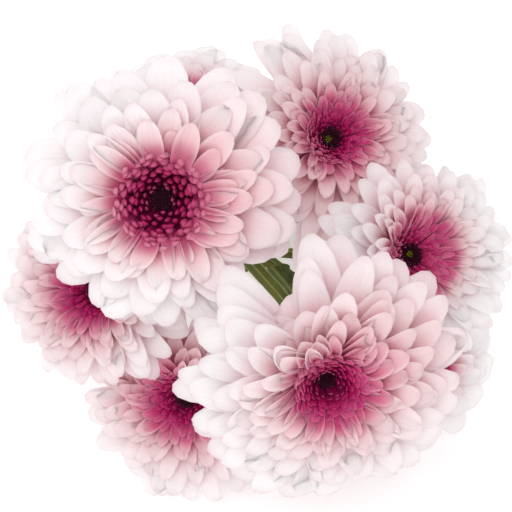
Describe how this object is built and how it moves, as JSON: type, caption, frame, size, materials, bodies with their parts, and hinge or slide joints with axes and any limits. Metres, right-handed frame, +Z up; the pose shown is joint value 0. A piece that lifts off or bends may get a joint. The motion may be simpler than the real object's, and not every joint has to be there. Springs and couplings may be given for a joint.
{
  "type": "cut chrysanthemum",
  "caption": "Cut spray chrysanthemum lying down: a branching stem with lobed leaves and open double blooms, white outside and pink to deep magenta at the heart.",
  "frame": {"origin": "middle of the bounding box's footprint, on the table that the spray lies on", "axes": "+Z up from the table; +Y from the blooms towards the cut end of the stem; +X to the right seen from the blooms' side"},
  "size_m": [0.1514, 0.1768, 0.1221],
  "materials": {
    "outer_florets": "soft satin, faintly translucent",
    "middle_florets": "soft satin, faintly translucent",
    "inner_florets": "velvety satin",
    "eye": "matte, fine-grained",
    "calyx": "matte with a fine down",
    "stem": "ribbed, satin, tinged purple-brown",
    "leaf": "matte, veined"
  },
  "bodies": {
    "root": {"bloom_1_outer_florets": "outer_florets", "bloom_1_middle_florets": "middle_florets", "bloom_1_inner_florets": "inner_florets", "bloom_1_eye": "eye", "bloom_1_calyx": "calyx", "bloom_2_outer_florets": "outer_florets", "bloom_2_middle_florets": "middle_florets", "bloom_2_inner_florets": "inner_florets", "bloom_2_eye": "eye", "bloom_2_calyx": "calyx", "bloom_3_outer_florets": "outer_florets", "bloom_3_middle_florets": "middle_florets", "bloom_3_inner_florets": "inner_florets", "bloom_3_eye": "eye", "bloom_3_calyx": "calyx", "bloom_4_outer_florets": "outer_florets", "bloom_4_middle_florets": "middle_florets", "bloom_4_inner_florets": "inner_florets", "bloom_4_eye": "eye", "bloom_4_calyx": "calyx", "bloom_5_outer_florets": "outer_florets", "bloom_5_middle_florets": "middle_florets", "bloom_5_inner_florets": "inner_florets", "bloom_5_eye": "eye", "bloom_5_calyx": "calyx", "bloom_6_outer_florets": "outer_florets", "bloom_6_middle_florets": "middle_florets", "bloom_6_inner_florets": "inner_florets", "bloom_6_eye": "eye", "bloom_6_calyx": "calyx", "bloom_7_outer_florets": "outer_florets", "bloom_7_middle_florets": "middle_florets", "bloom_7_inner_florets": "inner_florets", "bloom_7_eye": "eye", "bloom_7_calyx": "calyx", "bloom_8_outer_florets": "outer_florets", "bloom_8_middle_florets": "middle_florets", "bloom_8_inner_florets": "inner_florets", "bloom_8_eye": "eye", "bloom_8_calyx": "calyx", "bloom_2_stalk": "stem", "bloom_3_stalk": "stem", "bloom_4_stalk": "stem", "bloom_5_stalk": "stem", "bloom_6_stalk": "stem", "bloom_7_stalk": "stem", "bloom_8_stalk": "stem", "main_stem": "stem", "leaf_1": "leaf", "leaf_2": "leaf", "leaf_3": "leaf", "leaf_4": "leaf", "leaf_5": "leaf", "leaf_6": "leaf"}
  },
  "joints": []
}
